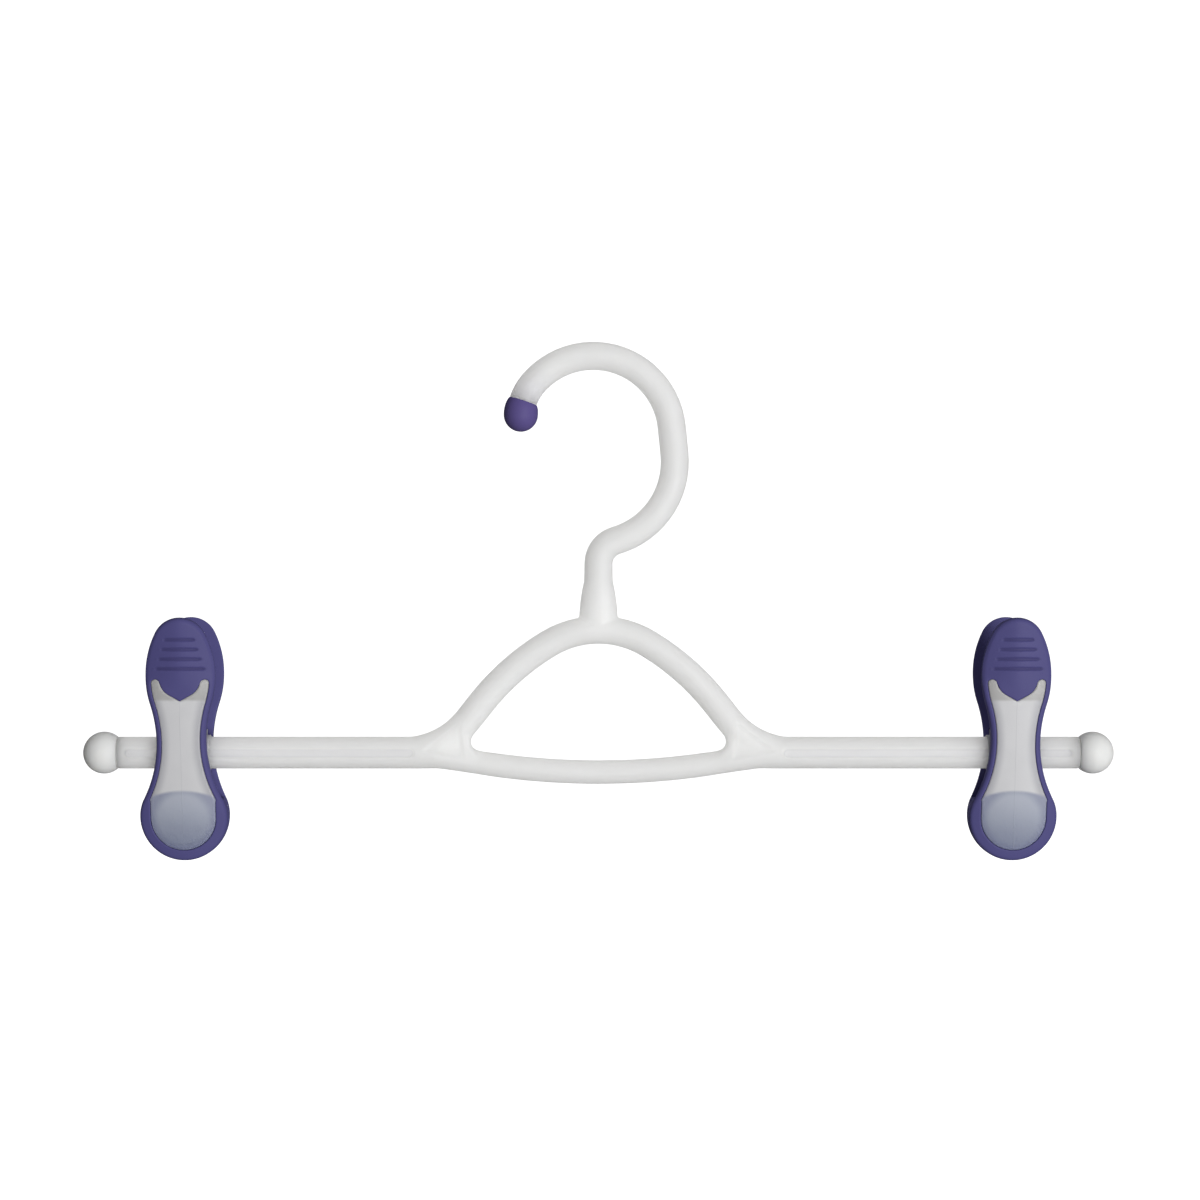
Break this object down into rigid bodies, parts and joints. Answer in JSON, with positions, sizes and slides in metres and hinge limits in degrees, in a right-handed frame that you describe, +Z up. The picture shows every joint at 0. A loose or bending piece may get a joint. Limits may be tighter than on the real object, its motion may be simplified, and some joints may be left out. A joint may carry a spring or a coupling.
{
  "type": "skirt hanger",
  "caption": "Plastic skirt hanger: rail hook with a soft tip, arched frame and round bar that carries sliding, sprung clips with soft thumb pads and grip pads.",
  "frame": {"origin": "inner top of the hook, where a wardrobe rail seats", "axes": "+X along the bar, away from the hook's open side; -Y the front that the picture shows; +Z up"},
  "size_m": [0.3605, 0.0342, 0.1814],
  "materials": {
    "milky_body": "milky translucent moulded plastic with a soft gloss",
    "milky_clip": "thin milky translucent moulded plastic",
    "soft_grip": "matte purple soft-touch elastomer",
    "spring_wire": "drawn spring wire"
  },
  "bodies": {
    "hanger": {"hanger_body": "milky_body", "hook_tip_cap": "soft_grip", "left_end_knob": "milky_body", "right_end_knob": "milky_body"},
    "left_slider": {"left_slider_sleeve": "milky_body", "left_torsion_spring": "spring_wire"},
    "left_front_jaw": {"left_front_jaw_shell": "milky_clip", "left_front_handle_grip": "soft_grip", "left_front_jaw_pad": "soft_grip"},
    "left_rear_jaw": {"left_rear_jaw_shell": "milky_clip", "left_rear_handle_grip": "soft_grip", "left_rear_jaw_pad": "soft_grip"},
    "right_slider": {"right_slider_sleeve": "milky_body", "right_torsion_spring": "spring_wire"},
    "right_front_jaw": {"right_front_jaw_shell": "milky_clip", "right_front_handle_grip": "soft_grip", "right_front_jaw_pad": "soft_grip"},
    "right_rear_jaw": {"right_rear_jaw_shell": "milky_clip", "right_rear_handle_grip": "soft_grip", "right_rear_jaw_pad": "soft_grip"}
  },
  "joints": [
    {"name": "left_clip_slide", "type": "slide", "parent": "hanger", "child": "left_slider", "axis": [1, 0, 0], "range_m": [-0.0144, 0.07]},
    {"name": "left_front_jaw_hinge", "type": "hinge", "parent": "left_slider", "child": "left_front_jaw", "pos_m": [-0.14275, 0, -0.1339], "axis": [-1, 0, 0], "range_deg": [0, 13], "stiffness_Nm_per_rad": 0.49, "springref_deg": -34.95, "deforming": ["left_torsion_spring"]},
    {"name": "left_rear_jaw_hinge", "type": "hinge", "parent": "left_slider", "child": "left_rear_jaw", "pos_m": [-0.14275, 0, -0.1339], "axis": [-1, 0, 0], "range_deg": [-13, 0]},
    {"name": "right_clip_slide", "type": "slide", "parent": "hanger", "child": "right_slider", "axis": [-1, 0, 0], "range_m": [-0.0144, 0.07]},
    {"name": "right_front_jaw_hinge", "type": "hinge", "parent": "right_slider", "child": "right_front_jaw", "pos_m": [0.14645, 0, -0.1339], "axis": [-1, 0, 0], "range_deg": [0, 13], "stiffness_Nm_per_rad": 0.49, "springref_deg": -34.95, "deforming": ["right_torsion_spring"]},
    {"name": "right_rear_jaw_hinge", "type": "hinge", "parent": "right_slider", "child": "right_rear_jaw", "pos_m": [0.14645, 0, -0.1339], "axis": [-1, 0, 0], "range_deg": [-13, 0]}
  ],
  "couplings": [
    {"joint": "left_rear_jaw_hinge", "follows": "left_front_jaw_hinge", "ratio": -1},
    {"joint": "right_rear_jaw_hinge", "follows": "right_front_jaw_hinge", "ratio": -1}
  ]
}
